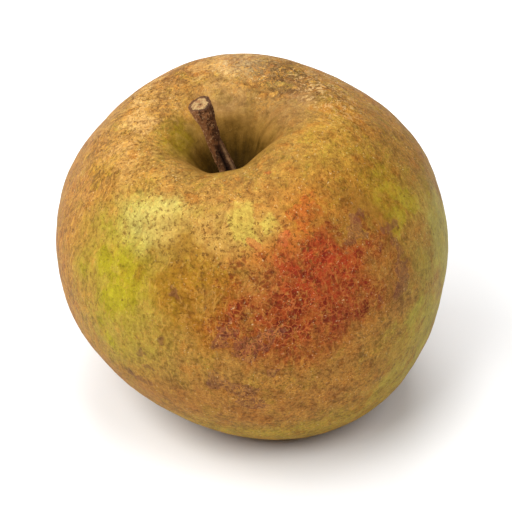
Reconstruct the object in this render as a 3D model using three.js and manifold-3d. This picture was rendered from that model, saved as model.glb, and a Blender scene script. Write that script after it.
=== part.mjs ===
// A Boskoop apple: a large, broad-shouldered, lopsided russet cooking apple with its stalk and dried calyx.
// Millimetres, +Z up. The apple stands on the level ring round its calyx basin, and its core leans
// to the left (-X) and a little forward (-Y). The origin is on the ground, under the middle of the fruit.

import * as THREE from "three";
import { mergeVertices } from "three/addons/utils/BufferGeometryUtils.js";
import Module from "manifold-3d";

const wasm = await Module();
wasm.setup();

// Driving dimensions of the fruit, in millimetres and degrees.
const BELLY_RADIUS = 41.7; // the widest ring of the fruit
const RIM_RADIUS = 15.3; // crest of the shoulders round the stalk cavity
const RIM_HEIGHT = 33.2; // that crest above the middle of the fruit
const CAVITY_DEPTH = 14.9; // from that crest down to the pit that the stalk grows from
const BASE_RADIUS = 16.3; // crest of the ring that the fruit stands on
const BASE_DROP = 36.5; // that crest below the middle of the fruit
const RIM_SPREAD = 13; // how far from the shoulders' crest the furrows are still felt
const BASE_SPREAD = 9; // how far from the base crest its lobes are still felt
const BASIN_DEPTH = 8.9; // from that crest up to the calyx
const GROUND_DROP = 35.8; // the ground below the middle of the fruit, where it presses the base crest flat

const CORE_LEAN = { left: 8.7, forward: 2.6 };
const BULGE = { right: 0.7, back: 4.5 }; // how far the belly sits off the core
const RIM_RISE = { right: 0.7, back: 2 }; // how much higher the shoulders are on those sides
const OVAL = { share: 0.021, azimuth: 124 }; // the belly is wider along this line through the core

// Valleys that run from the stalk cavity out over the shoulders, and one swelling (a valley below zero).
const FURROWS = [
  { azimuth: 44, depth: 2, spread: 30 },
  { azimuth: 135, depth: 1, spread: 24 },
  { azimuth: 178, depth: 1, spread: 15 },
  { azimuth: 250, depth: 0.6, spread: 15 },
  { azimuth: 292, depth: 0.6, spread: 15 },
  { azimuth: 316, depth: -1.7, spread: 28 },
];
const FLANK = { share: 0.5, radius: 30, low: -16, high: 14 }; // the furrows draw the flank in by a share
const LOBES = { count: 5, height: 0.3, azimuth: 20 }; // of the base crest

// The stalk: stations along it as distance off the core to the right and back, height, and radius.
const STALK_HOLE = { radius: 2.2, depth: 3 };
const STALK = [
  { right: 0, back: 0, height: 15.6, radius: 1.8 },
  { right: -0.1, back: 0, height: 18.8, radius: 1.75 },
  { right: -0.6, back: 0.2, height: 22.5, radius: 1.7 },
  { right: -1.4, back: 0.1, height: 26.7, radius: 1.6 },
  { right: -2.1, back: -0.1, height: 30.8, radius: 1.5 },
  { right: -2.5, back: -0.3, height: 35.2, radius: 1.65 },
  { right: -2.9, back: -0.4, height: 38.2, radius: 2.1 },
  { right: -3.3, back: -0.5, height: 40.6, radius: 2.4 },
];
const STALK_RIBS = { count: 3, share: 0.06, turns: 0.12 };
const CUT_END = { share: 0.9, dish: 0.2 }; // its rim stands that high at a share of the stalk's radius

// The calyx: a woody cup in a plain hole of the basin, with five dried sepals on its rim.
const CALYX_HOLE = { radius: 3.4, depth: 2.4 };
const CUP = { radius: 3.1, rimDrop: 0.7, edgeWidth: 0.2, edgeHeight: 0.4 };
const EYE = { radius: 1.3, depth: 1.6, bevel: 0.4 }; // the opening in the cup
const SEPAL = {
  count: 5,
  width: 3.4,
  tipWidth: 0.7,
  taper: 1.4,
  thickness: 0.8,
  cupped: 0.35,
  inset: 0.9,
  sunk: 0.6,
  drop: 4.4,
  curve: 0.9,
  flare: 2.6,
  turn: 0.3,
};

const GAP = 0.3; // left between neighbouring pieces

const FRUIT_SIDES = 80;
const FRUIT_RINGS = 52;
const STALK_SIDES = 24;
const STALK_RINGS = 26;
const CUP_SIDES = 40;
const SEPAL_STEPS = 8;
const SAME_POINT = 1e-4; // points closer than this are one

const skin = new THREE.MeshStandardMaterial({ color: 0xb98a3c, roughness: 0.6, metalness: 0 });
const bark = new THREE.MeshStandardMaterial({ color: 0x5a3b26, roughness: 0.85, metalness: 0 });
const husk = new THREE.MeshStandardMaterial({ color: 0x4c3d2a, roughness: 0.9, metalness: 0 });

const { degToRad, smoothstep, lerp, euclideanModulo } = THREE.MathUtils;

// The fruit's own frame: its z runs from the calyx to the stalk, along the leaning core.
const leanLeft = Math.tan(degToRad(CORE_LEAN.left));
const leanForward = Math.tan(degToRad(CORE_LEAN.forward));
const core = new THREE.Vector3(-leanLeft, -leanForward, 1).normalize();
const across = new THREE.Vector3(1, 0, 0).addScaledVector(core, -core.x).normalize();
const along = core.clone().cross(across);
const fruitFrame = new THREE.Matrix4().makeBasis(across, along, core);
const levelSlope = { x: -across.z / core.z, y: -along.z / core.z };

// The outline from the pit over the shoulder, belly and base crest to the basin floor, as (radius, height).
const pitHeight = RIM_HEIGHT - CAVITY_DEPTH;
const basinHeight = BASIN_DEPTH - BASE_DROP;
const outline = new THREE.SplineCurve([
  new THREE.Vector2(STALK_HOLE.radius, pitHeight),
  new THREE.Vector2(4.7, pitHeight + 4),
  new THREE.Vector2(9, RIM_HEIGHT - 3.6),
  new THREE.Vector2(RIM_RADIUS, RIM_HEIGHT),
  new THREE.Vector2(23.9, RIM_HEIGHT - 1.5),
  new THREE.Vector2(32.3, RIM_HEIGHT - 9.3),
  new THREE.Vector2(BELLY_RADIUS - 1.6, 11.9),
  new THREE.Vector2(BELLY_RADIUS, -3.7),
  new THREE.Vector2(36.7, -19.3),
  new THREE.Vector2(27, -BASE_DROP + 4.8),
  new THREE.Vector2(BASE_RADIUS, -BASE_DROP),
  new THREE.Vector2(9, -BASE_DROP + 3.2),
  new THREE.Vector2(5, basinHeight - 1),
  new THREE.Vector2(CALYX_HOLE.radius, basinHeight),
]);

// Depth of the furrows at an azimuth round the core.
function furrowDepth(azimuth) {
  let depth = 0;
  for (const furrow of FURROWS) {
    const turn = euclideanModulo(azimuth - degToRad(furrow.azimuth) + Math.PI, 2 * Math.PI) - Math.PI;
    depth += furrow.depth * Math.exp(-((turn / degToRad(furrow.spread)) ** 2));
  }
  return depth;
}

// Moves a point of the evenly turned fruit to its place on the crooked, furrowed one.
function grow(point) {
  const radius = Math.hypot(point.x, point.y);
  const azimuth = Math.atan2(point.y, point.x);
  const up = smoothstep(point.z, 0, RIM_HEIGHT);
  const down = smoothstep(-point.z, 0, BASE_DROP);
  const offCore = smoothstep(radius, 0, STALK_HOLE.radius);

  const valley = offCore * furrowDepth(azimuth);
  const onRim = up * Math.exp(-(((radius - RIM_RADIUS) / RIM_SPREAD) ** 2));
  const onFlank = smoothstep(radius, 0, FLANK.radius) * smoothstep(point.z, FLANK.low, FLANK.high);
  const lobe = offCore * LOBES.height * Math.cos(LOBES.count * (azimuth - degToRad(LOBES.azimuth)));
  const onBase = down * Math.exp(-(((radius - BASE_RADIUS) / BASE_SPREAD) ** 2));

  const oval = 1 + OVAL.share * Math.cos(2 * (azimuth - degToRad(OVAL.azimuth)));
  const reach = radius * oval - FLANK.share * valley * onFlank;
  const bulge = (radius / BELLY_RADIUS) ** 2;
  const x = reach * Math.cos(azimuth) + BULGE.right * bulge;
  const y = reach * Math.sin(azimuth) + BULGE.back * bulge;
  const rise = up * ((RIM_RISE.right * x + RIM_RISE.back * y) / BELLY_RADIUS);
  const level = down * (levelSlope.x * x + levelSlope.y * y);
  return point.set(x, y, point.z - valley * onRim - lobe * onBase + rise + level);
}

// Applies a point-by-point change to a geometry.
function reshape(geometry, change) {
  const place = geometry.getAttribute("position");
  const point = new THREE.Vector3();
  for (let i = 0; i < place.count; i++) {
    change(point.fromBufferAttribute(place, i));
    place.setXYZ(i, point.x, point.y, point.z);
  }
  return geometry;
}

// A solid turned round the core from a profile of (radius, height) that starts and ends on the core.
function turn(profile, sides) {
  const points = profile.map(([radius, height]) => new THREE.Vector2(radius, height));
  return new THREE.LatheGeometry(points, sides).rotateX(Math.PI / 2);
}

// The whole fruit, hollowed by its cavity, its basin and the two plain holes in them.
function appleGeometry() {
  const side = outline.getPoints(FRUIT_RINGS).reverse();
  const profile = [
    [0, basinHeight + CALYX_HOLE.depth],
    [CALYX_HOLE.radius, basinHeight + CALYX_HOLE.depth],
    ...side.map((point) => [point.x, point.y]),
    [STALK_HOLE.radius, pitHeight - STALK_HOLE.depth],
    [0, pitHeight - STALK_HOLE.depth],
  ];
  return reshape(turn(profile, FRUIT_SIDES), grow);
}

// The stalk: a ribbed rod along its stations, flared towards the cut end.
function stalkGeometry() {
  const path = new THREE.CatmullRomCurve3(STALK.map((at) => new THREE.Vector3(at.right, at.back, at.height)));
  const last = STALK.length - 1;
  const radii = new THREE.SplineCurve(STALK.map((at, i) => new THREE.Vector2(i / last, at.radius)));
  const profile = [[0, 0]];
  for (let i = 0; i <= STALK_RINGS; i++) profile.push([1, i / STALK_RINGS]);
  profile.push([CUT_END.share, 1 + CUT_END.dish], [0, 1]);

  const upright = new THREE.Vector3(0, 0, 1);
  const turned = new THREE.Quaternion();
  return reshape(turn(profile, STALK_SIDES), (point) => {
    const share = THREE.MathUtils.clamp(point.z, 0, 1);
    const azimuth = Math.atan2(point.y, point.x) + 2 * Math.PI * STALK_RIBS.turns * share;
    const rib = 1 + STALK_RIBS.share * Math.cos(STALK_RIBS.count * azimuth);
    const radius = radii.getPoint(share).y * rib;
    turned.setFromUnitVectors(upright, path.getTangent(share));
    point.set(point.x * radius, point.y * radius, point.z - share);
    point.applyQuaternion(turned).add(path.getPoint(share));
  });
}

// One dried sepal: a tapering blade that hangs from the cup's rim and flares outwards at its tip.
function sepalGeometry() {
  const blade = new THREE.BoxGeometry(1, 1, 1, 2, SEPAL_STEPS, 1).translate(0, 0.5, 0);
  return reshape(blade, (point) => {
    const share = point.y;
    const width = lerp(SEPAL.width, SEPAL.tipWidth, share ** SEPAL.taper);
    const flare = SEPAL.flare * share ** 2;
    const reach = CUP.radius - SEPAL.inset + flare - SEPAL.cupped * (2 * point.x) ** 2;
    const hang = SEPAL.drop * Math.sin(0.5 * Math.PI * share) ** SEPAL.curve;
    point.set(reach - point.z * SEPAL.thickness, point.x * width, basinHeight + SEPAL.sunk - hang);
  });
}

// The same geometry as a solid that can be joined with others.
function toSolid(geometry) {
  const plain = geometry.clone();
  plain.deleteAttribute("normal");
  plain.deleteAttribute("uv");
  const merged = mergeVertices(plain, SAME_POINT);
  return new wasm.Manifold(
    new wasm.Mesh({
      numProp: 3,
      vertProperties: merged.getAttribute("position").array,
      triVerts: new Uint32Array(merged.index.array),
    }),
  );
}

function toGeometry(solid) {
  const mesh = solid.getMesh();
  const geometry = new THREE.BufferGeometry();
  geometry.setAttribute("position", new THREE.BufferAttribute(mesh.vertProperties, mesh.numProp));
  geometry.setIndex(new THREE.BufferAttribute(mesh.triVerts, 1));
  return geometry;
}

// The dried remains of the flower: the cup with an open eye, and the sepals fused to it.
function calyxGeometry() {
  const rim = basinHeight - CUP.rimDrop;
  const top = basinHeight + CALYX_HOLE.depth - GAP;
  const profile = [
    [0, rim + EYE.depth],
    [EYE.radius, rim + EYE.depth],
    [EYE.radius + EYE.bevel, rim],
    [CUP.radius - CUP.edgeWidth, rim],
    [CUP.radius, rim + CUP.edgeHeight],
    [CUP.radius, top],
    [0, top],
  ];
  const cup = turn(profile, CUP_SIDES);
  let calyx = toSolid(cup);
  for (let i = 0; i < SEPAL.count; i++) {
    const sepal = sepalGeometry().rotateZ((2 * Math.PI * i) / SEPAL.count + SEPAL.turn);
    calyx = calyx.add(toSolid(sepal));
  }
  return reshape(toGeometry(calyx), grow);
}

const pieces = [
  { name: "apple", geometry: appleGeometry(), material: skin },
  { name: "stalk", geometry: stalkGeometry(), material: bark },
  { name: "calyx", geometry: calyxGeometry(), material: husk },
];

// Stands the pieces on the ground, presses the fruit's base crest flat there and centres it over the origin.
const toGround = new THREE.Matrix4().makeTranslation(0, 0, GROUND_DROP).multiply(fruitFrame);
for (const { geometry } of pieces) {
  geometry.applyMatrix4(toGround);
  reshape(geometry, (point) => point.setZ(Math.max(point.z, 0)));
}
pieces[0].geometry.computeBoundingBox();
const middle = pieces[0].geometry.boundingBox.getCenter(new THREE.Vector3());

const boskoop = new THREE.Group();
boskoop.name = "boskoop_apple";
for (const { name, geometry, material } of pieces) {
  geometry.translate(-middle.x, -middle.y, 0);
  geometry.computeVertexNormals();
  const piece = new THREE.Mesh(geometry, material);
  piece.name = name;
  boskoop.add(piece);
}

export default boskoop;
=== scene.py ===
"""A Boskoop apple on a pale floor: lopsided russet fruit, woody stalk and dried calyx."""

import math
import random

import bpy
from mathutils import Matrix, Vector, noise


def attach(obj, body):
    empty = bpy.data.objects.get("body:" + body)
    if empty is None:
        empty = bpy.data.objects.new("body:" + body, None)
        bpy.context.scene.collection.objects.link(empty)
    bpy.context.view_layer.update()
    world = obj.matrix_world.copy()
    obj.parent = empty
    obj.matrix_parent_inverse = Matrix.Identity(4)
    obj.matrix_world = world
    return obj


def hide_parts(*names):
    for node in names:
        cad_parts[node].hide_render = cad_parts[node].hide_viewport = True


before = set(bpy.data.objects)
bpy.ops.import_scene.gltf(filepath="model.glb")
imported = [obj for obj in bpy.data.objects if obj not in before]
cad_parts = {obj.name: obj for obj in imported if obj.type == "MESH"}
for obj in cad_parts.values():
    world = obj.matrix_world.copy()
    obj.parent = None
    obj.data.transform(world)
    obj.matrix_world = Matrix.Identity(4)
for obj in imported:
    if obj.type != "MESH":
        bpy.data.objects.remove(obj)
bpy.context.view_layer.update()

MM = 0.001
TURN = 2 * math.pi

# Driving dimensions of the fruit, in millimetres and degrees, as its solids have them.
BELLY_RADIUS = 41.7
RIM_RADIUS = 15.3
RIM_HEIGHT = 33.2
PIT_HEIGHT = RIM_HEIGHT - 14.9
BASE_RADIUS = 16.3
BASE_DROP = 36.5
BASIN_HEIGHT = 8.9 - BASE_DROP
RIM_SPREAD = 13
BASE_SPREAD = 9
FLANK = {"share": 0.5, "radius": 30, "low": -16, "high": 14}
GROUND_DROP = 35.8
MIDDLE = (0.859, 4.494)  # the core's crossing with the belly is off the footprint's middle by this
CORE_LEAN = {"left": 8.7, "forward": 2.6}
BULGE = {"right": 0.7, "back": 4.5}
RIM_RISE = {"right": 0.7, "back": 2.0}
OVAL = {"share": 0.021, "azimuth": 124}
FURROWS = (
    {"azimuth": 44, "depth": 2.0, "spread": 30},
    {"azimuth": 135, "depth": 1.0, "spread": 24},
    {"azimuth": 178, "depth": 1.0, "spread": 15},
    {"azimuth": 250, "depth": 0.6, "spread": 15},
    {"azimuth": 292, "depth": 0.6, "spread": 15},
    {"azimuth": 316, "depth": -1.7, "spread": 28},
)
LOBES = {"count": 5, "height": 0.3, "azimuth": 20}
OUTLINE = (
    (0.0, PIT_HEIGHT - 0.6),
    (2.2, PIT_HEIGHT),
    (4.7, PIT_HEIGHT + 4),
    (9.0, RIM_HEIGHT - 3.6),
    (RIM_RADIUS, RIM_HEIGHT),
    (23.9, RIM_HEIGHT - 1.5),
    (32.3, RIM_HEIGHT - 9.3),
    (BELLY_RADIUS - 1.6, 11.9),
    (BELLY_RADIUS, -3.7),
    (36.7, -19.3),
    (27.0, -BASE_DROP + 4.8),
    (BASE_RADIUS, -BASE_DROP),
    (9.0, -BASE_DROP + 3.2),
    (5.0, BASIN_HEIGHT - 1),
    (3.4, BASIN_HEIGHT),
    (0.0, BASIN_HEIGHT + 0.8),
)


class Value:
    """A socket that can be reckoned with: each operator adds its Math node to the socket's tree."""

    def __init__(self, nodes, socket):
        self.nodes = nodes
        self.socket = socket

    def math(self, operation, *others):
        inputs = dict(enumerate((self, *others)))
        return self.nodes.node("ShaderNodeMath", {"operation": operation}, inputs)

    def __add__(self, other):
        return self.math("ADD", other)

    __radd__ = __add__

    def __sub__(self, other):
        return self.math("SUBTRACT", other)

    def __rsub__(self, other):
        return self.nodes.node("ShaderNodeMath", {"operation": "SUBTRACT"}, {0: other, 1: self})

    def __mul__(self, other):
        return self.math("MULTIPLY", other)

    __rmul__ = __mul__

    def __truediv__(self, other):
        return self.math("DIVIDE", other)

    def __pow__(self, other):
        return self.math("POWER", other)

    def __neg__(self):
        return self * -1.0

    def parts(self):
        """The three numbers of a vector."""
        split = self.nodes.node("ShaderNodeSeparateXYZ", {}, {0: self}).socket.node
        return [Value(self.nodes, socket) for socket in split.outputs[:3]]


class Nodes:
    """A node tree that is written as sums."""

    def __init__(self, tree):
        self.tree = tree

    def node(self, kind, settings=None, inputs=None, output=0):
        """Adds a node: its settings, then the value or the link of each input; gives one of its outputs."""
        node = self.tree.nodes.new(kind)
        for name, setting in (settings or {}).items():
            if name == "stops":
                self.set_stops(node.color_ramp, setting)
            else:
                setattr(node, name, setting)
        for key, value in (inputs or {}).items():
            if isinstance(value, Value):
                self.tree.links.new(value.socket, node.inputs[key])
            else:
                node.inputs[key].default_value = value
        return Value(self, node.outputs[output]) if node.outputs else node

    @staticmethod
    def set_stops(ramp, stops):
        while len(ramp.elements) < len(stops):
            ramp.elements.new(0.5)
        for element, (place, colour) in zip(ramp.elements, stops):
            element.position = place
            element.color = colour

    def vector(self, x, y, z):
        return self.node("ShaderNodeCombineXYZ", {}, {0: x, 1: y, 2: z})

    def mix(self, factor, first, second, blend="MIX"):
        """Two colours mixed."""
        settings = {"data_type": "RGBA", "blend_type": blend}
        return self.node("ShaderNodeMix", settings, {0: factor, 6: first, 7: second}, 2)

    def scaled(self, vector, factors):
        return self.node("ShaderNodeVectorMath", {"operation": "MULTIPLY"}, {0: vector, 1: factors})

    def moved(self, vector, offset):
        return self.node("ShaderNodeVectorMath", {"operation": "ADD"}, {0: vector, 1: offset})

    def noise(self, place, scale, detail=2.0, roughness=0.5, output=0):
        inputs = {"Vector": place, "Scale": scale, "Detail": detail, "Roughness": roughness}
        return self.node("ShaderNodeTexNoise", {}, inputs, output)

    def cells(self, place, scale, feature="F1", output=0):
        """Uneven cells: the distance to a cell's middle or to its edge, or its own random colour."""
        inputs = {"Vector": place, "Scale": scale}
        return self.node("ShaderNodeTexVoronoi", {"feature": feature}, inputs, output)


def sine(angle):
    return angle.math("SINE") if isinstance(angle, Value) else math.sin(angle)


def cosine(angle):
    return angle.math("COSINE") if isinstance(angle, Value) else math.cos(angle)


def bell(distance):
    """1 at distance 0, falling off smoothly to nothing past 2."""
    square = distance * distance
    return (-square).math("EXPONENT") if isinstance(square, Value) else math.exp(-square)


def rise(value, low, high):
    """0 below low, 1 above high, smooth between them."""
    if isinstance(value, Value):
        settings = {"interpolation_type": "SMOOTHSTEP"}
        return value.nodes.node("ShaderNodeMapRange", settings, {0: value, 1: low, 2: high})
    share = min(max((value - low) / (high - low), 0.0), 1.0)
    return share * share * (3 - 2 * share)


def wrapped(angle):
    """The same angle between minus and plus half a turn."""
    if isinstance(angle, Value):
        return angle.math("WRAP", math.pi, -math.pi)
    return (angle + math.pi) % TURN - math.pi


def at_least(value, least):
    return value.math("MAXIMUM", least) if isinstance(value, Value) else max(value, least)


def lean_frame():
    """The fruit's own frame in the row frame: its third axis is the leaning core."""
    lean = [math.tan(math.radians(CORE_LEAN[side])) for side in ("left", "forward")]
    core = Vector((-lean[0], -lean[1], 1)).normalized()
    across = (Vector((1, 0, 0)) - core * core.x).normalized()
    return across, core.cross(across), core


ACROSS, ALONG, CORE = lean_frame()


def grown(radius, height, azimuth):
    """The crooked, furrowed fruit's point for a point of an evenly turned one, in the fruit's own frame."""
    up = rise(height, 0, RIM_HEIGHT)
    down = rise(-height, 0, BASE_DROP)
    off_core = rise(radius, 0, OUTLINE[1][0])
    valley = 0
    for furrow in FURROWS:
        turn = wrapped(azimuth - math.radians(furrow["azimuth"]))
        valley = valley + furrow["depth"] * bell(turn / math.radians(furrow["spread"]))
    valley = valley * off_core
    on_rim = up * bell((radius - RIM_RADIUS) / RIM_SPREAD)
    on_flank = rise(radius, 0, FLANK["radius"]) * rise(height, FLANK["low"], FLANK["high"])
    lobe_turn = azimuth - math.radians(LOBES["azimuth"])
    lobe = off_core * LOBES["height"] * cosine(LOBES["count"] * lobe_turn)
    on_base = down * bell((radius - BASE_RADIUS) / BASE_SPREAD)
    oval = 1 + OVAL["share"] * cosine(2 * (azimuth - math.radians(OVAL["azimuth"])))
    reach = radius * oval - FLANK["share"] * valley * on_flank
    bulge = (radius / BELLY_RADIUS) ** 2
    x = reach * cosine(azimuth) + BULGE["right"] * bulge
    y = reach * sine(azimuth) + BULGE["back"] * bulge
    tilt = up * (RIM_RISE["right"] * x + RIM_RISE["back"] * y) / BELLY_RADIUS
    level = down * (x * (-ACROSS.z / CORE.z) + y * (-ALONG.z / CORE.z))
    return x, y, height - valley * on_rim - lobe * on_base + tilt + level


def stood(x, y, z):
    """A point of the fruit's own frame in the row frame, both in millimetres."""
    middle = (*MIDDLE, -GROUND_DROP)
    return tuple(x * ACROSS[i] + y * ALONG[i] + z * CORE[i] - middle[i] for i in range(3))


def smooth_path(points, steps):
    """A smooth line through the points, with that many steps between two of them."""
    ends = [2 * Vector(points[0]) - Vector(points[1]), 2 * Vector(points[-1]) - Vector(points[-2])]
    knots = [ends[0], *map(Vector, points), ends[1]]
    path = []
    for a, b, c, d in zip(knots, knots[1:], knots[2:], knots[3:]):
        bend = 2 * a - 5 * b + 4 * c - d
        twist = 3 * b - a - 3 * c + d
        for step in range(steps):
            t = step / steps
            path.append(0.5 * (2 * b + (c - a) * t + bend * t**2 + twist * t**3))
    return [*path, Vector(points[-1])]


def arc_lengths(path):
    lengths = [0.0]
    for here, there in zip(path, path[1:]):
        lengths.append(lengths[-1] + (there - here).length)
    return lengths


MERIDIAN_STEPS = 24
MERIDIAN = smooth_path(OUTLINE, MERIDIAN_STEPS)
MERIDIAN_ARCS = arc_lengths(MERIDIAN)
MERIDIAN_LENGTH = MERIDIAN_ARCS[-1]


def radius_at(arc):
    """The fruit's radius at that distance from the pit along a meridian."""
    nearest = min(range(len(MERIDIAN)), key=lambda i: abs(MERIDIAN_ARCS[i] - arc))
    return MERIDIAN[nearest].x


def seen(red, green, blue):
    """A colour given as it looks on a screen, turned by the screen's own curve for a colour socket."""
    return (*[((c / 255 + 0.055) / 1.055) ** 2.4 for c in (red, green, blue)], 1.0)


def new_object(name, mesh):
    piece = bpy.data.objects.new(name, mesh)
    bpy.context.scene.collection.objects.link(piece)
    return piece


def new_material(name):
    """An empty material's nodes, and its shader."""
    material = bpy.data.materials.new(name)
    material.use_nodes = True
    nodes = Nodes(material.node_tree)
    return material, nodes, material.node_tree.nodes["Principled BSDF"]


def feed(shader, **values):
    """Sets or links the shader's sockets, named with underscores for spaces."""
    for name, value in values.items():
        socket = shader.inputs[name.replace("_", " ")]
        if isinstance(value, Value):
            value.nodes.tree.links.new(value.socket, socket)
        else:
            socket.default_value = value


# The skin's ground colour, which the patches are painted over, one after the other.
GROUND = (150, 110, 50)
# How bare of russet some patches are.
BARE = {
    "taupe furrow": 0.7,
    "yellow green left": 0.7,
    "yellow green low left": 0.65,
    "left foot": 0.4,
    "lime window": 0.75,
    "lime right window": 0.65,
    "pale lime shoulder": 0.8,
    "pale peach front": 0.4,
    "yellow window": 0.7,
    "green right edge": 0.75,
    "gold right edge": 0.4,
    "lime right foot": 0.7,
}
# A patch lies at an azimuth in degrees and at a distance from the pit along the skin, and has half a width
# and half a length, all three in millimetres; then come its colour and how fully it covers.
PATCHES = {
    "orange back rim": (122, 44, 34, 9, (158, 110, 58), 0.8),
    "pale back shoulder": (146, 30, 15, 8, (170, 130, 72), 0.85),
    "pale left shoulder": (172, 28, 13, 5, (160, 120, 60), 0.8),
    "pale back crown": (80, 29, 8, 5, (222, 190, 136), 0.9),
    "brown back crown": (104, 31, 4, 5, (138, 98, 50), 0.7),
    "tan back crown": (113, 28, 7, 5, (136, 94, 50), 0.9),
    "pale inner rim": (90, 20, 6, 4, (176, 136, 82), 0.85),
    # Darker in the furrow at the back: partly the skin's duller colour, partly painted shade of the valley.
    "dull shaded furrow": (40, 28, 18, 9, (88, 64, 36), 0.9),
    "taupe furrow": (14, 24, 9, 7, (142, 106, 66), 0.9),
    "golden back": (90, 62, 60, 20, (154, 112, 48), 0.6),
    "back green window": (70, 57, 15, 14, (150, 134, 48), 0.6),
    "orange left edge": (200, 50, 18, 20, (156, 108, 48), 0.85),
    "yellow left streak": (190, 38, 4, 7, (164, 124, 30), 0.7),
    "yellow right shoulder": (338, 31, 16, 8, (160, 122, 46), 0.85),
    "orange right streak": (358, 37, 3, 6, (148, 96, 36), 0.7),
    "olive right flank": (332, 44, 12, 10, (143, 110, 30), 0.9),
    "green right edge": (344, 69, 14, 18, (162, 148, 66), 0.95),
    "brown right edge": (358, 49, 9, 8, (132, 98, 42), 0.8),
    "gold right edge": (329, 66, 8, 16, (152, 136, 58), 0.8),
    "brown right front": (314, 60, 12, 12, (136, 92, 38), 0.9),
    "right foot": (314, 82, 14, 10, (150, 126, 42), 0.85),
    "lime right foot": (323, 83, 10, 14, (156, 144, 54), 0.9),
    "left foot": (235, 76, 22, 12, (152, 112, 50), 0.7),
    "yellow green left": (229, 49, 17, 19, (160, 138, 48), 0.95),
    "yellow green low left": (232, 64, 15, 12, (158, 134, 50), 0.85),
    "lime window": (228, 51, 8.5, 14, (156, 144, 20), 0.8),
    "lime right window": (332, 49, 5.5, 8, (150, 130, 32), 0.7),
    "pale lime shoulder": (238, 37, 9, 7, (186, 176, 92), 0.9),
    "orange veil": (294, 39, 17, 8, (182, 110, 38), 0.9),
    "ochre front": (260, 53, 11, 12, (136, 90, 14), 0.85),
    "pale peach front": (266, 37, 17, 6, (178, 140, 68), 0.9),
    "yellow window": (285, 36.5, 4.5, 4.5, (186, 162, 70), 0.85),
    "under cheek": (286, 66, 14, 6, (146, 80, 32), 0.85),
    "right cheek": (309, 51, 8, 9, (120, 68, 32), 0.85),
    "cheek": (295, 52, 14, 12, (144, 46, 24), 1.0),
    "dusky cheek": (299, 60, 6, 6, (132, 54, 28), 0.7),
    "orange spot": (300, 37.5, 4.5, 3.5, (186, 116, 34), 0.75),
    "red streak": (298, 36, 2.0, 4, (168, 72, 34), 0.6),
    "pink spot": (286, 42, 2.4, 2.6, (180, 90, 50), 0.6),
    "brown over cheek": (319, 42, 6, 6, (140, 98, 36), 0.85),
    "olive under lime": (251, 48, 9, 11, (140, 100, 26), 0.8),
    "low cheek": (277, 58, 13, 9, (134, 52, 22), 0.9),
    "lower front": (272, 80, 36, 9, (152, 102, 44), 0.85),
    "bottom green rim": (280, 98, 60, 8, (154, 130, 42), 0.8),
    "near rim": (240, 22, 32, 4.5, (134, 102, 46), 0.85),
    "green cavity wall": (166, 17, 6, 5, (132, 112, 18), 0.8),
}
# Zones of the skin: azimuth, distance from the pit, half width and half length, as for the patches.
ZONES = {
    "cheek": (290, 52, 20, 14),
    "low cheek": (275, 59, 12, 8),
    "rough front": (282, 70, 34, 24),
    "creamy shoulder": (138, 29, 22, 12),
    "wormy shoulder": (342, 36, 22, 16),
    "left flank": (200, 50, 34, 40),
    "back furrow": (28, 29, 16, 9),
    "flaky shoulder": (28, 32, 12, 6),
    "speckled front": (256, 38, 34, 12),
}
SCUFFS = ((243, 64.5, 4, 6), (268, 66, 3, 6), (317, 56, 2.8, 3))
# The layers painted over the patches: their colour, and how fully they cover where they are full.
LAYERS = {
    "orange tone": ((160, 92, 30), 0.45),
    "olive tone": ((142, 126, 34), 0.35),
    "cream cloud": ((188, 148, 88), 0.8),
    "tan cloud": ((132, 96, 52), 0.75),
    "maroon blotch": ((108, 32, 20), 1.0),
    "mauve scuff": ((108, 66, 48), 0.6),
    "dark stroke": ((112, 58, 14), 0.5),
    "vein": ((112, 58, 14), 1.0),
    "pale stroke": ((208, 156, 72), 0.6),
    "flake": ((232, 190, 128), 0.55),
    "crackle": ((200, 138, 54), 1.0),
    "rosy crack": ((204, 122, 66), 0.8),
    "speck": ((92, 58, 22), 1.0),
    "lenticel": ((92, 58, 22), 1.0),
    "glint": ((232, 204, 150), 0.5),
    # cavity: the cavity's own olive, darkened further with painted shade; pit: painted shadow, near black, in
    # the deep hole
    "cavity": ((86, 60, 12), 0.92),
    "pit": ((34, 23, 9), 0.95),
}
# The noises: waves for each millimetre, detail, roughness, and how far the noise is shifted, if it is.
NOISES = {
    "sway": (0.14, 3.0, 0.55),
    "ragged": (0.45, 3.0, 0.7),
    "strokes": (1.5, 3.0, 0.65),
    "pale strokes": (1.0, 3.0, 0.7, (31, 17, 5)),
    "mottled": (1.2, 3.0, 0.75),
    "cloudy": (0.28, 2.0, 0.6),
    "broad": (1.0, 3.0, 0.65),
    "clouds": (0.17, 4.0, 0.62, (9, 21, 4)),
    "crooked": (0.9, 2.0, 0.6),
    "blotches": (0.4, 3.0, 0.7),
    "crackle": (0.7, 3.0, 0.62),
    "veins": (0.9, 3.0, 0.62, (17, 5, 11)),
    "flaky": (1.0, 3.0, 0.75),
    "specks": (1.1, 3.0, 0.8, (3, 5, 9)),
    "glints": (2.0, 2.0, 0.6),
    "cavity streaks": (1.0, 3.0, 0.6),
}
# The two values of a pattern between which each of these comes up from nothing to full. The first three
# are distances from the pit in millimetres.
EDGES = {
    "pit": (2, 14),
    "cavity": (8, 22),
    "rim": (12, 25),
    "patch": (0.07, 0.9),
    "thick russet": (0.38, 0.62),
    "orange tone": (0.5, 0.68),
    "olive tone": (0.32, 0.48),
    "cream cloud": (0.49, 0.57),
    "tan cloud": (0.39, 0.47),
    "blotch": (0.53, 0.6),
    "blotched cheek": (0.1, 0.55),
    "inside a cell": (0.03, 0.12),
    "scuff": (0.15, 0.9),
    "dark stroke": (0.56, 0.66),
    "pale stroke": (0.54, 0.66),
    "veined": (0.42, 0.55),
    "flake": (0.54, 0.6),
    "rosy crack": (0.01, 0.06),
    "speck": (0.6, 0.66),
    "glint": (0.64, 0.72),
}
LINE_WIDTH = {"crackle": 0.035, "veins": 0.045}
CELLS = {"blotches": 0.62, "lenticels": 0.5}  # cells for each millimetre
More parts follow.
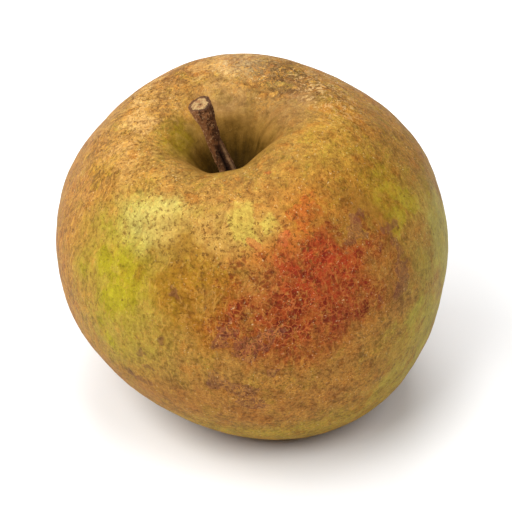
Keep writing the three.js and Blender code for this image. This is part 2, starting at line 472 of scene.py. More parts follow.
CROOKED = (1.6, 1.6, 1.6)  # millimetres by which the blotches' cells are pushed about
# How far the sway shifts a patch, as a part of the radius and in millimetres along the skin, and the strokes.
PATCH_SWAY = (0.18, 0.18, 7)
STROKE_SWAY = (5, 5, 5)
LENTICEL_SWAY = (6, 6, 6)
# Patterns are squeezed by these factors before the noise, so those under 1 draw them out.
STROKE_STRETCH = (1, 1, 0.42)
BROAD_STRETCH = (0.3, 0.3, 0.5)
FLAKE_STRETCH = (0.8, 0.8, 1.3)
LENTICEL_STRETCH = (1, 1, 0.75)
STREAK_STRETCH = (5, 5, 0.06)
FRAY = {"russeted": 0.4, "bare": 0.16}
# How strongly the grain darkens and lightens the skin, and the darkest that it gets.
GRAIN = {"everywhere": 2.3, "rough front": 1.4, "cheek": 1.4, "strokes": 3.0}
DARKEST = 0.48
WARMTH = {"red": 0.85, "blue": 1.05}  # powers of the shade: darker skin is redder
SKIN_RELIEF = {"strength": 0.45, "height": 0.0003}
SKIN_GLOSS = 0.05


def in_millimetres(nodes):
    """The place on the object, in millimetres."""
    return nodes.scaled(nodes.node("ShaderNodeTexCoord", {}, {}, "Object"), (1 / MM, 1 / MM, 1 / MM))


def attribute(nodes, name):
    return nodes.node("ShaderNodeAttribute", {"attribute_name": name}, {}, "Vector")


def bumped(nodes, height, strength, distance):
    return nodes.node("ShaderNodeBump", {}, {"Strength": strength, "Distance": distance, "Height": height})


def edged(value, name):
    """A pattern turned into a share, by its two edges."""
    return rise(value, *EDGES[name])


def patch_share(cosine_part, sine_part, arc, patch):
    """How much of a patch lies at a point: 1 in its middle, falling off smoothly."""
    azimuth, middle, width, length = patch[:4]
    turn = math.radians(azimuth)
    apart = 2.0 - 2.0 * (cosine_part * math.cos(turn) + sine_part * math.sin(turn))
    along = (arc - middle) / length
    return (-(apart * (radius_at(middle) / width) ** 2 + along * along)).math("EXPONENT")


class Skin:
    """The zones, noises and shares that the skin's colour, gloss and relief are made of."""

    def __init__(self, nodes):
        self.nodes = nodes
        self.place = in_millimetres(nodes)
        self.turned = attribute(nodes, "round_core")
        self.arc = self.turned.parts()[2]
        self.sway = nodes.moved(self.noise("sway", self.place, output=1), (-0.5, -0.5, -0.5))
        self.spot = nodes.moved(self.turned, nodes.scaled(self.sway, PATCH_SWAY)).parts()
        self.zone = {name: self.share(patch) for name, patch in ZONES.items()}
        self.outside = edged(self.arc, "rim")

        self.combed = self.stretched(STROKE_STRETCH, STROKE_SWAY)
        self.ragged = self.noise("ragged", self.combed) - 0.5
        self.strokes = self.noise("strokes", self.combed)
        self.mottled = self.noise("mottled", self.place)
        self.cloudy = self.noise("cloudy", self.place)
        self.thickness = 0.3 + 0.7 * edged(self.cloudy, "thick russet")

        self.covers = {name: self.patch_cover(name) for name in PATCHES}
        self.bare = 0.0
        for name, bareness in BARE.items():
            self.bare = at_least(self.covers[name] * bareness, self.bare)
        self.clad = 1.0 - self.bare

        # Strokes run along the meridians, most of all on the left flank and in the furrow at the back.
        combing = 0.35 + self.zone["left flank"] + self.zone["back furrow"]
        combing = combing + 0.5 * self.zone["creamy shoulder"]
        self.combing = combing.math("MINIMUM", 1.0) * self.outside * (1.0 - 0.7 * self.bare)
        self.dark = edged(self.strokes, "dark stroke") * self.combing * self.thickness
        self.pale_strokes = edged(self.noise("pale strokes", self.combed), "pale stroke")
        self.pale = self.pale_strokes * self.combing
        flaky = self.noise("flaky", nodes.scaled(self.combed, FLAKE_STRETCH))
        self.flakes = edged(flaky, "flake") * self.zone["flaky shoulder"]
        self.crackle = self.thin_lines("crackle")
        self.front = self.zone["speckled front"] + 0.8 * self.zone["creamy shoulder"]
        self.specks = edged(self.noise("specks", self.place) + 0.05 * self.front, "speck") * self.outside

        crooked = nodes.moved(self.place, nodes.scaled(self.noise("crooked", self.place, output=1), CROOKED))
        self.cell_chance = nodes.cells(crooked, CELLS["blotches"], output=1).parts()[0]
        self.cell_edge = nodes.cells(crooked, CELLS["blotches"], "DISTANCE_TO_EDGE")

    def noise(self, name, place, output=0):
        fineness, detail, roughness, *shift = NOISES[name]
        if shift:
            place = self.nodes.moved(place, shift[0])
        return self.nodes.noise(place, fineness, detail, roughness, output=output)

    def share(self, patch):
        return patch_share(*self.spot, patch)

    def patch_cover(self, name):
        """A patch with a frayed edge; bare ones fray less."""
        fray = FRAY["bare" if name in BARE else "russeted"] * self.ragged * self.outside
        return edged(self.share(PATCHES[name]) + fray, "patch")

    def stretched(self, factors, sway):
        return self.nodes.moved(self.nodes.scaled(self.place, factors), self.nodes.scaled(self.sway, sway))

    def thin_lines(self, name):
        """1 on thin crooked lines, 0 between them."""
        width = LINE_WIDTH[name]
        return 1.0 - rise((self.noise(name, self.place) - 0.5).math("ABSOLUTE"), width * 0.3, width)

    def painted(self, colour, name, share):
        """The colour with one of the layers over it."""
        layer, cover = LAYERS[name]
        return self.nodes.mix(share * cover, colour, seen(*layer))

    def relief(self):
        raised = 0.6 * self.mottled + 0.5 * self.pale_strokes + 0.4 * self.crackle + self.flakes
        return raised - 0.5 * self.dark - 0.6 * self.specks


def patched(skin):
    """The ground colour and the patches, with orange, olive, cream and tan tones that come and go in them."""
    colour = seen(*GROUND)
    for name, patch in PATCHES.items():
        colour = skin.nodes.mix(skin.covers[name] * patch[5], colour, seen(*patch[4]))

    broad = skin.noise("broad", skin.nodes.scaled(skin.combed, BROAD_STRETCH))
    plain = (1.0 - 0.8 * skin.zone["cheek"]) * skin.outside * (1.0 - 0.8 * skin.bare)
    colour = skin.painted(colour, "orange tone", edged(broad, "orange tone") * plain)
    colour = skin.painted(colour, "olive tone", (1.0 - edged(broad, "olive tone")) * plain)
    creamy = skin.zone["creamy shoulder"]
    clouds = skin.noise("clouds", skin.place)
    colour = skin.painted(colour, "cream cloud", edged(clouds, "cream cloud") * creamy)
    return skin.painted(colour, "tan cloud", (1.0 - edged(clouds, "tan cloud")) * creamy)


def blotched(skin, colour):
    """Maroon blotches on the cheek, each a whole cell, and mauve scuffs."""
    cheek, low_cheek = skin.zone["cheek"], skin.zone["low cheek"]
    blotches = 0.35 * (skin.cell_chance - 0.5) + skin.noise("blotches", skin.place)
    blotches = blotches + 0.1 * (cheek - 0.5) + 0.03 * low_cheek
    maroon = edged(blotches, "blotch") * edged(skin.cell_edge, "inside a cell")
    maroon = maroon * edged(cheek, "blotched cheek")
    colour = skin.painted(colour, "maroon blotch", maroon * (0.62 + 0.3 * low_cheek))
    for scuff in SCUFFS:
        colour = skin.painted(colour, "mauve scuff", edged(skin.share(scuff) + skin.ragged * 0.7, "scuff"))
    return colour


def russeted(skin, colour):
    """Grain, strokes, veins, flakes and crackle over all of it, and pale cracks between the blotches."""
    nodes, combing, bare = skin.nodes, skin.combing, skin.bare
    rough, cheek = skin.zone["rough front"], skin.zone["cheek"]
    coarse = GRAIN["everywhere"] + GRAIN["rough front"] * rough - GRAIN["cheek"] * cheek
    grain = coarse * (skin.mottled - 0.5) * (0.3 + 0.7 * skin.outside)
    grain = grain + GRAIN["strokes"] * (skin.strokes - 0.5) * combing
    shade = 1.0 + (1.0 - 0.5 * bare) * (grain + skin.ragged * skin.outside) + (skin.cloudy - 0.5)
    shade = at_least(shade, DARKEST)
    tint = nodes.vector(shade ** WARMTH["red"], shade, shade ** WARMTH["blue"])
    colour = nodes.mix(1.0, colour, tint, "MULTIPLY")

    colour = skin.painted(colour, "dark stroke", skin.dark)
    veins = skin.thin_lines("veins") * edged(skin.mottled, "veined") * skin.outside
    veined = skin.clad * (1.0 - 0.6 * combing) * (0.4 + 0.3 * rough + 0.4 * skin.zone["wormy shoulder"])
    colour = skin.painted(colour, "vein", veins * veined)
    colour = skin.painted(colour, "pale stroke", skin.pale)
    colour = skin.painted(colour, "flake", skin.flakes)
    cracked = skin.crackle * skin.thickness * (0.45 + 0.3 * rough) * skin.outside * skin.clad
    colour = skin.painted(colour, "crackle", cracked * (1.0 - 0.7 * cheek))
    cracks = 1.0 - edged(skin.cell_edge + 0.06 * (skin.mottled - 0.5), "rosy crack")
    return skin.painted(colour, "rosy crack", cracks * (0.3 * cheek + 0.35 * skin.zone["low cheek"]))


def specked(skin, colour):
    """Dark specks, thick on the pale front, lenticels of many sizes and small pale glints."""
    nodes = skin.nodes
    speckled = (0.4 + 0.5 * skin.front) * (1.0 - 0.4 * skin.bare)
    colour = skin.painted(colour, "speck", skin.specks * speckled)
    place = skin.stretched(LENTICEL_STRETCH, LENTICEL_SWAY)
    chance = nodes.cells(place, CELLS["lenticels"], output=1).parts()[0]
    ragged = nodes.cells(place, CELLS["lenticels"]) + 0.25 * (skin.mottled - 0.5)
    lenticels = 1.0 - rise(ragged, 0.09 * chance, 0.03 + 0.2 * chance)
    colour = skin.painted(colour, "lenticel", lenticels * skin.outside * (0.35 + 0.4 * skin.bare))
    glints = edged(skin.noise("glints", skin.place), "glint") * skin.thickness
    return skin.painted(colour, "glint", glints * skin.outside * skin.clad)


def hollowed_with_painted_shade(skin, colour):
    """The streaked cavity, darker partly by its own olive colour and partly by painted shade, and its pit,
    painted nearly black as shadow.
    """
    # The streaks are partly the cavity's own radial marks and partly painted shade of its folds, deepening
    # towards the pit.
    streaks = skin.noise("cavity streaks", skin.nodes.scaled(skin.turned, STREAK_STRETCH)) - 0.5
    depth = skin.arc + 8.0 * (skin.cloudy - 0.5) + 10.0 * streaks
    colour = skin.painted(colour, "cavity", 1.0 - edged(depth, "cavity"))
    return skin.painted(colour, "pit", 1.0 - edged(depth, "pit"))


def skin_material():
    material, nodes, shader = new_material("russet_skin")
    skin = Skin(nodes)
    colour = patched(skin)
    for layer in (blotched, russeted, specked, hollowed_with_painted_shade):
        colour = layer(skin, colour)
    rough = 0.52 + 0.14 * skin.pale + 0.2 * (skin.mottled - 0.5)
    bump = bumped(nodes, skin.relief(), SKIN_RELIEF["strength"], SKIN_RELIEF["height"])
    feed(shader, Base_Color=colour, Roughness=rough, Normal=bump, Specular_IOR_Level=SKIN_GLOSS)
    return material


# The stalk's bark and cut face.

BARK = (134, 88, 52)
DARK_BARK = (56, 31, 15)
PALE_BARK = (186, 146, 104)
GREY_BARK = (142, 112, 82)
WOOD = (166, 136, 90)
# Near black: painted shadow along the stalk's groove.
GROOVE_SHADOW = (34, 17, 9)
PITH = (84, 52, 30)
FIBRE_STRETCH = (1, 1, 0.35)
BARK_RELIEF = {"strength": 0.7, "height": 0.0004}
DARK_SIDE = 350  # the azimuth where the bark is darkest
# Where the groove's painted shadow and the ridge's painted highlight lie, in degrees past the groove and the
# ridge, and how sharp they are.
GROOVE_SHADE = {"past": 6, "sharpness": 7.0}
RIDGE_HIGHLIGHT = {"past": -8, "sharpness": 130.0}


def line_share(azimuth, middle, sharpness):
    """1 along one side of the stalk, falling off round it."""
    return ((cosine(azimuth - math.radians(middle)) - 1.0) * sharpness).math("EXPONENT")


def bark_material():
    material, nodes, shader = new_material("stalk_bark")
    place = in_millimetres(nodes)
    azimuth, length, cut = attribute(nodes, "mark").parts()
    fibres = nodes.noise(nodes.scaled(place, FIBRE_STRETCH), 1.1, 3.0, 0.75)
    scurf = nodes.noise(place, 1.5, 3.0, 0.75)
    low = 1.0 - rise(length, 12, 17)
    foot = 1.0 - rise(length + 6.0 * (scurf - 0.5), 3, 8)
    right = 0.5 + 0.5 * cosine(azimuth - math.radians(DARK_SIDE))

    colour = nodes.mix(foot * 0.7, seen(*BARK), seen(*GREY_BARK))
    colour = nodes.mix(rise(fibres + 0.26 * (right - 0.6), 0.46, 0.6) * 0.85, colour, seen(*DARK_BARK))
    colour = nodes.mix(rise(scurf - 0.06 * right, 0.5, 0.6) * 0.7, colour, seen(*PALE_BARK))
    # Painted shade low down: the groove darkened nearly to black, and a thin painted highlight along the
    # ridge's edge.
    groove = line_share(azimuth, STALK_GROOVE["azimuth"] + GROOVE_SHADE["past"], GROOVE_SHADE["sharpness"])
    colour = nodes.mix(groove * low * 0.95, colour, seen(*GROOVE_SHADOW))
    ridge = line_share(azimuth, STALK_RIDGE["azimuth"] + RIDGE_HIGHLIGHT["past"], RIDGE_HIGHLIGHT["sharpness"])
    colour = nodes.mix(ridge * low * (0.3 + 0.5 * fibres), colour, seen(*PALE_BARK))

    # The cut face: mottled wood round a dark pith, in a dark collar of bark.
    wood = nodes.mix(rise(scurf, 0.47, 0.58) * 0.8, seen(*WOOD), seen(*BARK))
    wood = nodes.mix(1.0 - rise(cut + 0.5 * (scurf - 0.5), 0.06, 0.18), wood, seen(*PITH))
    collar = rise(cut, 0.5, 0.66) * (1.0 - rise(cut, 0.86, 0.98))
    colour = nodes.mix(collar * 0.7, colour, seen(*DARK_BARK))
    colour = nodes.mix(1.0 - rise(cut + 0.8 * (scurf - 0.5), 0.56, 0.68), colour, wood)
    bump = bumped(nodes, fibres + 0.7 * scurf, BARK_RELIEF["strength"], BARK_RELIEF["height"])
    feed(shader, Base_Color=colour, Roughness=0.8, Normal=bump, Specular_IOR_Level=0.2)
    return material


# The calyx's dry husk.

HUSK = (92, 68, 44)
HUSK_FELT = (158, 136, 104)
HUSK_TIP = (48, 34, 24)
WRINKLE_STRETCH = (1, 1, 0.5)
HUSK_RELIEF = {"strength": 0.6, "height": 0.0003}


def husk_material():
    material, nodes, shader = new_material("dried_sepal")
    stamen, along, _ = attribute(nodes, "mark").parts()
    wrinkles = nodes.noise(nodes.scaled(in_millimetres(nodes), WRINKLE_STRETCH), 1.6, 3.0, 0.7)
    colour = nodes.mix(rise(wrinkles, 0.48, 0.62) * 0.6, seen(*HUSK), seen(*HUSK_FELT))
    tips = rise(along + 0.5 * (wrinkles - 0.5), 0.6, 1.0)
    colour = nodes.mix(at_least(tips, stamen * 0.8), colour, seen(*HUSK_TIP))
    bump = bumped(nodes, wrinkles, HUSK_RELIEF["strength"], HUSK_RELIEF["height"])
    feed(shader, Base_Color=colour, Roughness=0.88, Normal=bump, Specular_IOR_Level=0.15)
    return material


# The skin: the meridian turned round the core and grown crooked.

SKIN_RINGS = 236
SKIN_SIDES = 400
SEAM = 0.0005  # points nearer than this are one
# Folds of the cavity's wall: a patch's four numbers, and how far each stands out.
CAVITY_FOLDS = ((350, 14, 2.2, 6, -0.9), (8, 16, 2.6, 7, 0.7), (196, 15, 2.4, 6, -0.6))
LUMPS = {"fineness": 0.09, "height": 0.7}
ROUGHNESS = {"fineness": 0.55, "height": 0.14}


def meridian_object():
    mesh = bpy.data.meshes.new("meridian")
    edges = [(i, i + 1) for i in range(len(MERIDIAN) - 1)]
    mesh.from_pydata([(point.x, 0, point.y) for point in MERIDIAN], edges, [])
    return new_object("apple_skin_meridian", mesh)


def geometry_tree(name, inputs):
    """A geometry tree with named inputs besides its geometry; gives its nodes and the inputs as values."""
    tree = bpy.data.node_groups.new(name, "GeometryNodeTree")
    tree.interface.new_socket("Geometry", in_out="OUTPUT", socket_type="NodeSocketGeometry")
    tree.interface.new_socket("Geometry", in_out="INPUT", socket_type="NodeSocketGeometry")
    for label, (kind, _) in inputs.items():
        tree.interface.new_socket(label, in_out="INPUT", socket_type=kind)
    nodes = Nodes(tree)
    source = tree.nodes.new("NodeGroupInput")
    return nodes, {socket.name: Value(nodes, socket) for socket in source.outputs if socket.name}


def run_tree(piece, nodes, inputs, result, material, name):
    """Ends the tree, runs it on the piece and gives what it makes as a plain mesh object."""
    done = nodes.node("GeometryNodeSetMaterial", {}, {"Geometry": result, "Material": material})
    nodes.node("NodeGroupOutput", {}, {0: done})
    modifier = piece.modifiers.new("growth", "NODES")
    modifier.node_group = nodes.tree
    items = nodes.tree.interface.items_tree
    sockets = {item.name: item.identifier for item in items if item.in_out == "INPUT"}
    for label, (_, value) in inputs.items():
        modifier[sockets[label]] = value
    graph = bpy.context.evaluated_depsgraph_get()
    mesh = bpy.data.meshes.new_from_object(piece.evaluated_get(graph))
    mesh.name = name
    piece.modifiers.remove(modifier)
    return new_object(name, mesh)


def make_skin(material):
    inputs = {
        "Rings": ("NodeSocketInt", SKIN_RINGS),
        "Sides": ("NodeSocketInt", SKIN_SIDES),
        "Unevenness": ("NodeSocketFloat", 1.0),
    }
    nodes, given = geometry_tree("grow_skin", inputs)
    line = nodes.node("GeometryNodeMeshToCurve", {}, {"Mesh": given["Geometry"]})
    sheet = {"Size X": 1.0, "Size Y": 1.0, "Vertices X": given["Rings"], "Vertices Y": given["Sides"] + 1}
    grid = nodes.node("GeometryNodeMeshGrid", {}, sheet)
    u, v, _ = nodes.node("GeometryNodeInputPosition").parts()
    share = u + 0.5
    azimuth = (v + 0.5) * TURN
    settings = {"data_type": "FLOAT_VECTOR", "mode": "FACTOR", "use_all_curves": True}
    spot = nodes.node("GeometryNodeSampleCurve", settings, {"Curves": line, "Factor": share}, 1)
    radius, _, height = spot.parts()
    x, y, z = stood(*grown(radius, height, azimuth))
    settings = {"data_type": "FLOAT_VECTOR", "domain": "POINT"}
    round_core = nodes.vector(cosine(azimuth), sine(azimuth), share * MERIDIAN_LENGTH)
    stored = {"Geometry": grid, "Name": "round_core", "Value": round_core}
    marked = nodes.node("GeometryNodeStoreNamedAttribute", settings, stored)
    standing = {"Geometry": marked, "Position": nodes.vector(x, y, z)}
    turned = nodes.node("GeometryNodeSetPosition", {}, standing)
    closed = nodes.node("GeometryNodeMergeByDistance", {}, {"Geometry": turned, "Distance": SEAM})

    place = nodes.node("GeometryNodeInputPosition")
    lumps = nodes.noise(place, LUMPS["fineness"], 2.0) - 0.5
    grain = nodes.noise(place, ROUGHNESS["fineness"], 3.0, 0.6) - 0.5
    turn_cosine, turn_sine, arc = nodes.node(
        "GeometryNodeInputNamedAttribute", {"data_type": "FLOAT_VECTOR"}, {"Name": "round_core"}
    ).parts()
    folds = 0.0
    for fold in CAVITY_FOLDS:
        folds = folds + patch_share(turn_cosine, turn_sine, arc, fold) * fold[4]
    uneven = given["Unevenness"] * (LUMPS["height"] * lumps + ROUGHNESS["height"] * grain + folds)
    normal = nodes.node("GeometryNodeInputNormal")
    offset = nodes.node("ShaderNodeVectorMath", {"operation": "SCALE"}, {0: normal, "Scale": uneven})
    lumpy = nodes.node("GeometryNodeSetPosition", {}, {"Geometry": closed, "Offset": offset})

    x, y, z = nodes.node("GeometryNodeInputPosition").parts()
    pressed = nodes.vector(x * MM, y * MM, at_least(z, 0.0) * MM)
    still = nodes.node("GeometryNodeSetPosition", {}, {"Geometry": lumpy, "Position": pressed})
    smooth = nodes.node("GeometryNodeSetShadeSmooth", {}, {0: still})
    maker = meridian_object()
    skin = run_tree(maker, nodes, inputs, smooth, material, "apple_skin")
    bpy.data.objects.remove(maker)
    return skin


def new_tube(rings, low_pole, high_pole):
    """A closed tube through rings of points: its points and its faces, which look outwards."""
    sides = len(rings[0])
    points = [low_pole, *[point for ring in rings for point in ring], high_pole]
    last = len(points) - 1
    top = last - sides
    faces = []
    for j in range(sides):
        k = (j + 1) % sides
        faces.append((0, 1 + k, 1 + j))
        faces.append((last, top + j, top + k))
        for i in range(len(rings) - 1):
            here, there = 1 + i * sides, 1 + (i + 1) * sides
            faces.append((here + j, here + k, there + k, there + j))
    volume = 0.0
    for face in faces:
        a = Vector(points[face[0]])
        for second, third in zip(face[1:], face[2:]):
            volume += a.dot(Vector(points[second]).cross(Vector(points[third])))
    if volume < 0:
        faces = [tuple(reversed(face)) for face in faces]
    return points, faces


def spun(radius, height, azimuth):
    """A point round the core."""
    return Vector((radius * math.cos(azimuth), radius * math.sin(azimuth), height))


def tubes_object(name, tubes, marks, material):
    """One smooth object of tubes given in the fruit's own frame, with a mark on each of its points."""
    points, faces = [], []
    for tube_points, tube_faces in tubes:
        faces += [tuple(len(points) + i for i in face) for face in tube_faces]
        points += tube_points
    mesh = bpy.data.meshes.new(name)
    mesh.from_pydata([Vector(stood(*point)) * MM for point in points], [], faces)
    mesh.shade_smooth()
    layer = mesh.attributes.new("mark", "FLOAT_VECTOR", "POINT")
    layer.data.foreach_set("vector", [number for mark in marks for number in mark])
    mesh.materials.append(material)
    mesh.update()
    return new_object(name, mesh)


# The stalk: stations along it as distance off the core to the right and back, height, and radius.
STALK = (
    (0.0, 0.0, 15.6, 1.6),
    (-0.1, 0.0, 18.8, 1.7),
    (-0.6, 0.2, 22.5, 1.7),
    (-1.4, 0.1, 26.7, 1.6),
    (-2.1, -0.1, 30.8, 1.5),
    (-2.5, -0.3, 35.2, 1.65),
    (-2.9, -0.4, 38.2, 2.1),
    (-3.3, -0.5, 40.6, 2.4),
)
STALK_SIDES = 80
STALK_RIBS = {"count": 3, "share": 0.06, "turns": 0.12}
STALK_GROOVE = {"azimuth": 284, "spread": 15, "depth": 0.65}
STALK_RIDGE = {"azimuth": 332, "spread": 11, "height": 0.35}
STALK_STEPS = 15
GROOVED = (0.45, 0.65)  # the groove and the ridge fade out between these shares of the length
KNOBS = {"fineness": 1.1, "stretch": 0.45, "height": 0.16}
PITS = {"fineness": 2.6, "stretch": 0.8, "height": 0.09}
# The cut face: rings inwards as a share of the tip's radius and a height over it, and the dip in the middle.
CUT_FACE = (
    (0.97, 0.12),
    (0.9, 0.2),
    (0.8, 0.06),
    (0.7, 0.1),
    (0.55, 0.26),
    (0.4, 0.3),
    (0.25, 0.22),
    (0.12, -0.1),
)
CUT_DIP = 0.25
CUT_ROUGHNESS = {"fineness": 1.6, "height": 0.12}


def beside(azimuth, relief):
    """How near a side of the stalk is to its groove or its ridge."""
    return bell(wrapped(azimuth - math.radians(relief["azimuth"])) / math.radians(relief["spread"]))


def stalk_radius(azimuth, share, radius, length):
    """The stalk's radius at a side of it: ribs, a groove and a ridge low down, and knobbly bark."""
    turned = azimuth + TURN * STALK_RIBS["turns"] * share
    ribbed = radius * (1 + STALK_RIBS["share"] * math.cos(STALK_RIBS["count"] * turned))
    low = 1 - rise(share, *GROOVED)
    ridge = STALK_RIDGE["height"] * beside(azimuth, STALK_RIDGE)
    groove = STALK_GROOVE["depth"] * beside(azimuth, STALK_GROOVE)
    side = Vector((math.cos(azimuth), math.sin(azimuth), 0)) * radius
    knobs = noise.fractal((side + Vector((0, 0, length * KNOBS["stretch"]))) * KNOBS["fineness"], 1.0, 2.0, 3)
    pits = noise.noise((side + Vector((7, 3, length * PITS["stretch"]))) * PITS["fineness"])
    return ribbed + low * (ridge - groove) + KNOBS["height"] * knobs + PITS["height"] * pits


def make_stalk(material):
    path = smooth_path(STALK, STALK_STEPS)
    lengths = arc_lengths([point.xyz for point in path])
    rings, marks = [], [(0, 0, 0)]
    for i, point in enumerate(path):
        ahead = (path[min(i + 1, len(path) - 1)] - path[max(i - 1, 0)]).xyz
        lean = Vector((0, 0, 1)).rotation_difference(ahead)
        share = i / (len(path) - 1)
        ring = []
        for j in range(STALK_SIDES):
            azimuth = TURN * j / STALK_SIDES
            radius = stalk_radius(azimuth, share, point.w, lengths[i])
            ring.append(point.xyz + lean @ spun(radius, 0, azimuth))
            marks.append((azimuth, lengths[i], 1.0))
        rings.append(ring)
    tip, middle = rings[-1], path[-1].xyz
    upwards = lean @ Vector((0, 0, 1))
    for share, height in CUT_FACE:
        ring = []
        for j, corner in enumerate(tip):
            spot = corner * share * CUT_ROUGHNESS["fineness"] + Vector((5, 1, 2))
            rough = CUT_ROUGHNESS["height"] * noise.noise(spot)
            ring.append(middle + (corner - middle) * share + upwards * (height + rough))
            marks.append((TURN * j / STALK_SIDES, lengths[-1], share * 0.9))
        rings.append(ring)
    marks.append((0, lengths[-1], 0))
    tube = new_tube(rings, path[0].xyz, middle - upwards * CUT_DIP)
    return tubes_object("stalk_bark", [tube], marks, material)


# The dried calyx: a cup with an open eye, sepals round it and withered stamens in it.
CUP = {"radius": 3.1, "eye": 1.3, "eye_depth": 1.6}
CUP_RIM = BASIN_HEIGHT - 0.7
SEPAL = {
    "count": 5,
    "turn": 0.3,
    "width": 3.4,
    "tip_width": 0.3,
    "taper": 1.4,
    "thickness": 0.55,
    "cupped": 0.45,
    "inset": 0.9,
    "sunk": 0.6,
    "drop": 4.4,
    "curve": 0.9,
    "flare": 2.9,
}
SEPAL_STEPS = 26
SEPAL_SIDES = 18
STAMENS = 16
STAMEN_SIDES = 7
CUP_SIDES = 72
STAMEN_STEPS = 12
STAMEN = {"foot": 0.25, "radius": 0.13, "sac": 0.16, "sac_place": 0.9, "sac_spread": 0.1, "sway": 0.2}


def cup_tube():
    wide, eye = CUP["radius"], CUP["eye"]
    profile = (
        (eye * 0.6, CUP_RIM + CUP["eye_depth"]),
        (eye, CUP_RIM + CUP["eye_depth"] - 0.3),
        (eye + 0.1, CUP_RIM + 0.7),
        (eye + 0.35, CUP_RIM + 0.1),
        (eye + 0.8, CUP_RIM - 0.1),
        (wide - 0.3, CUP_RIM + 0.05),
        (wide, CUP_RIM + 0.5),
        (wide, CUP_RIM + 2.4),
    )
    rings = []
    for radius, height in profile:
        ring = []
        for j in range(CUP_SIDES):
            azimuth = TURN * j / CUP_SIDES
            crinkle = noise.noise(spun(2.2, height * 1.4, azimuth) * 1.7)
            ring.append(spun(radius * (1 + 0.06 * crinkle), height + 0.12 * crinkle, azimuth))
        rings.append(ring)
    return new_tube(rings, (0, 0, CUP_RIM + CUP["eye_depth"]), (0, 0, CUP_RIM + 2.4))


def sepal_tube(azimuth, chance):
    """One withered sepal, pinched and curled at its tip."""
    flare = SEPAL["flare"] * chance.uniform(0.55, 1.1)
    drop = SEPAL["drop"] * chance.uniform(0.88, 1.02)
    bend = chance.uniform(-0.25, 0.25)
    curl = chance.uniform(0.5, 1.1)

    def place(share, across_share, lift):
        narrowing = share ** SEPAL["taper"]
        width = SEPAL["width"] * (1 - narrowing) + SEPAL["tip_width"] * narrowing
        reach = CUP["radius"] - SEPAL["inset"] + flare * share**2 - SEPAL["cupped"] * (2 * across_share) ** 2
        hang = drop * math.sin(0.5 * math.pi * share) ** SEPAL["curve"] - curl * rise(share, 0.7, 1.0)
        crease = 0.22 * noise.noise(Vector((azimuth * 3, across_share * 5, share * 4)))
        around = azimuth + (across_share * width + bend * share * 3) / max(reach, 2)
        height = BASIN_HEIGHT + SEPAL["sunk"] - hang
        return spun(reach + lift * SEPAL["thickness"] + crease, height, around)

    rings = []
    around = [TURN * j / SEPAL_SIDES for j in range(SEPAL_SIDES)]
    for i in range(SEPAL_STEPS + 1):
        share = i / SEPAL_STEPS
        thinned = 0.5 * (1.15 - share * 0.6)
        rings.append([place(share, 0.5 * math.cos(a), math.sin(a) * thinned) for a in around])
    return new_tube(rings, place(0, 0, 0), place(1, 0, 0))


def stamen_tube(azimuth, chance):
    """A withered thread with its dried pollen sac."""
    foot = spun(CUP["eye"] + STAMEN["foot"], CUP_RIM + 0.6, azimuth)
    reach = chance.uniform(0.6, 2.0)
    tip = spun(reach, CUP_RIM - chance.uniform(1.6, 3.0), azimuth + chance.uniform(-0.6, 0.6))
    rings = []
    for i in range(STAMEN_STEPS + 1):
        share = i / STAMEN_STEPS
        swing = Vector((math.sin(share * 4 + azimuth), math.cos(share * 3 + azimuth), 0))
        sway = swing * STAMEN["sway"] * share
        sac = bell((share - STAMEN["sac_place"]) / STAMEN["sac_spread"])
        radius = STAMEN["radius"] + STAMEN["sac"] * sac
        centre = foot.lerp(tip, share) + sway
        rings.append([centre + spun(radius, 0, TURN * j / STAMEN_SIDES) for j in range(STAMEN_SIDES)])
    last = rings[-1]
    end = last[0].lerp(last[STAMEN_SIDES // 2], 0.5) - Vector((0, 0, 0.1))
    return new_tube(rings, foot, end)


def make_calyx(material):
    chance = random.Random(5)
    tubes = [cup_tube()]
    for i in range(SEPAL["count"]):
        tubes.append(sepal_tube(TURN * i / SEPAL["count"] + SEPAL["turn"], chance))
    for i in range(STAMENS):
        tubes.append(stamen_tube(TURN * (i + chance.uniform(-0.3, 0.3)) / STAMENS, chance))
    marks = []
    grown_tubes = []
    for index, (points, faces) in enumerate(tubes):
        moved = [grown_point(Vector(point)) for point in points]
        grown_tubes.append((moved, faces))
        stamen = float(index > SEPAL["count"])
        marks += [(stamen, (CUP_RIM + 0.6 - point[2]) / SEPAL["drop"], index) for point in points]
    return tubes_object("dried_calyx", grown_tubes, marks, material)


def grown_point(point):
    return Vector(grown(math.hypot(point.x, point.y), point.z, math.atan2(point.y, point.x)))


# The camera, the floor and the light.

CAMERA_ELEVATION = 38
CAMERA_DISTANCE = 600
CAMERA_AIM = (0.99, -4.49, 34.83)
PICTURE_PIXELS = 512
FOCAL_PIXELS = 2844
SENSOR_WIDTH = 36
NEAREST = 0.05
FLOOR_REACH = 3.0


def make_camera():
    camera = bpy.data.cameras.new("camera")
    camera.sensor_width = SENSOR_WIDTH
    camera.lens = SENSOR_WIDTH * FOCAL_PIXELS / PICTURE_PIXELS
    camera.clip_start = NEAREST
    holder = new_object("camera", camera)
    tilt = math.radians(CAMERA_ELEVATION)
    back = Vector((0, -math.cos(tilt), math.sin(tilt)))
    holder.location = (Vector(CAMERA_AIM) + CAMERA_DISTANCE * back) * MM
    holder.rotation_euler = (math.pi / 2 - tilt, 0, 0)
    bpy.context.scene.camera = holder


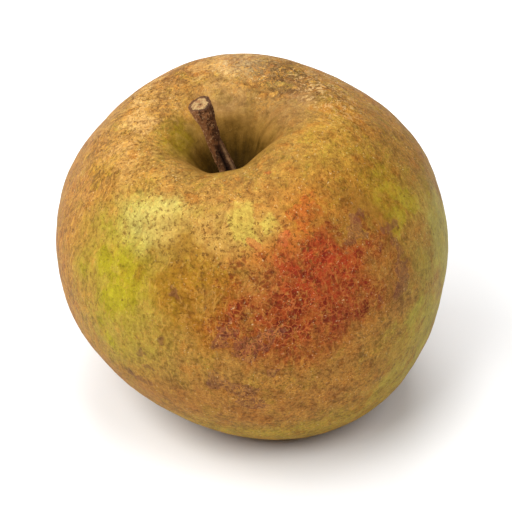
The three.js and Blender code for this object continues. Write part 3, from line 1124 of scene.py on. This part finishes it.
def make_floor():
    mesh = bpy.data.meshes.new("floor")
    corners = ((-1, -1), (1, -1), (1, 1), (-1, 1))
    mesh.from_pydata([(x * FLOOR_REACH, y * FLOOR_REACH, 0) for x, y in corners], [], [(0, 1, 2, 3)])
    floor = new_object("floor", mesh)
    material, _, shader = new_material("pale_floor")
    feed(shader, Base_Color=(0.88, 0.88, 0.88, 1), Roughness=0.9, Specular_IOR_Level=0.1)
    mesh.materials.append(material)


# Soft lamps on a dome round the fruit: azimuth and elevation in degrees, and power in watts.
LAMPS = (
    ("key_lamp", 225, 52, 5.9),
    ("top_lamp", 0, 88, 3.3),
    ("back_lamp", 92, 52, 2.9),
    ("left_lamp", 168, 46, 3.4),
    ("right_lamp", 318, 52, 2.8),
)
LAMP_DISTANCE = 0.9
LAMP_SIZE = 0.5
SKY_STRENGTH = 0.06


def make_lamp(name, azimuth, elevation, power):
    """A square soft lamp that looks at the foot of the fruit."""
    lamp = bpy.data.lights.new(name, "AREA")
    lamp.shape = "SQUARE"
    lamp.size = LAMP_SIZE
    lamp.energy = power
    turn, rise_angle = math.radians(azimuth), math.radians(elevation)
    level = math.cos(rise_angle)
    out = Vector((level * math.cos(turn), level * math.sin(turn), math.sin(rise_angle)))
    holder = new_object(name, lamp)
    holder.location = out * LAMP_DISTANCE
    holder.rotation_euler = (-out).to_track_quat("-Z", "Y").to_euler()


def light_scene():
    world = bpy.data.worlds.new("studio")
    world.use_nodes = True
    sky = world.node_tree.nodes["Background"]
    sky.inputs["Color"].default_value = (1, 1, 1, 1)
    sky.inputs["Strength"].default_value = SKY_STRENGTH
    bpy.context.scene.world = world
    for lamp in LAMPS:
        make_lamp(*lamp)
    bpy.context.scene.view_settings.view_transform = "Standard"


make_camera()
make_floor()
light_scene()

skin = make_skin(skin_material())
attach(skin, "root")
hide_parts("apple")

stalk = make_stalk(bark_material())
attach(stalk, "root")
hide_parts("stalk")

calyx = make_calyx(husk_material())
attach(calyx, "root")
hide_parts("calyx")
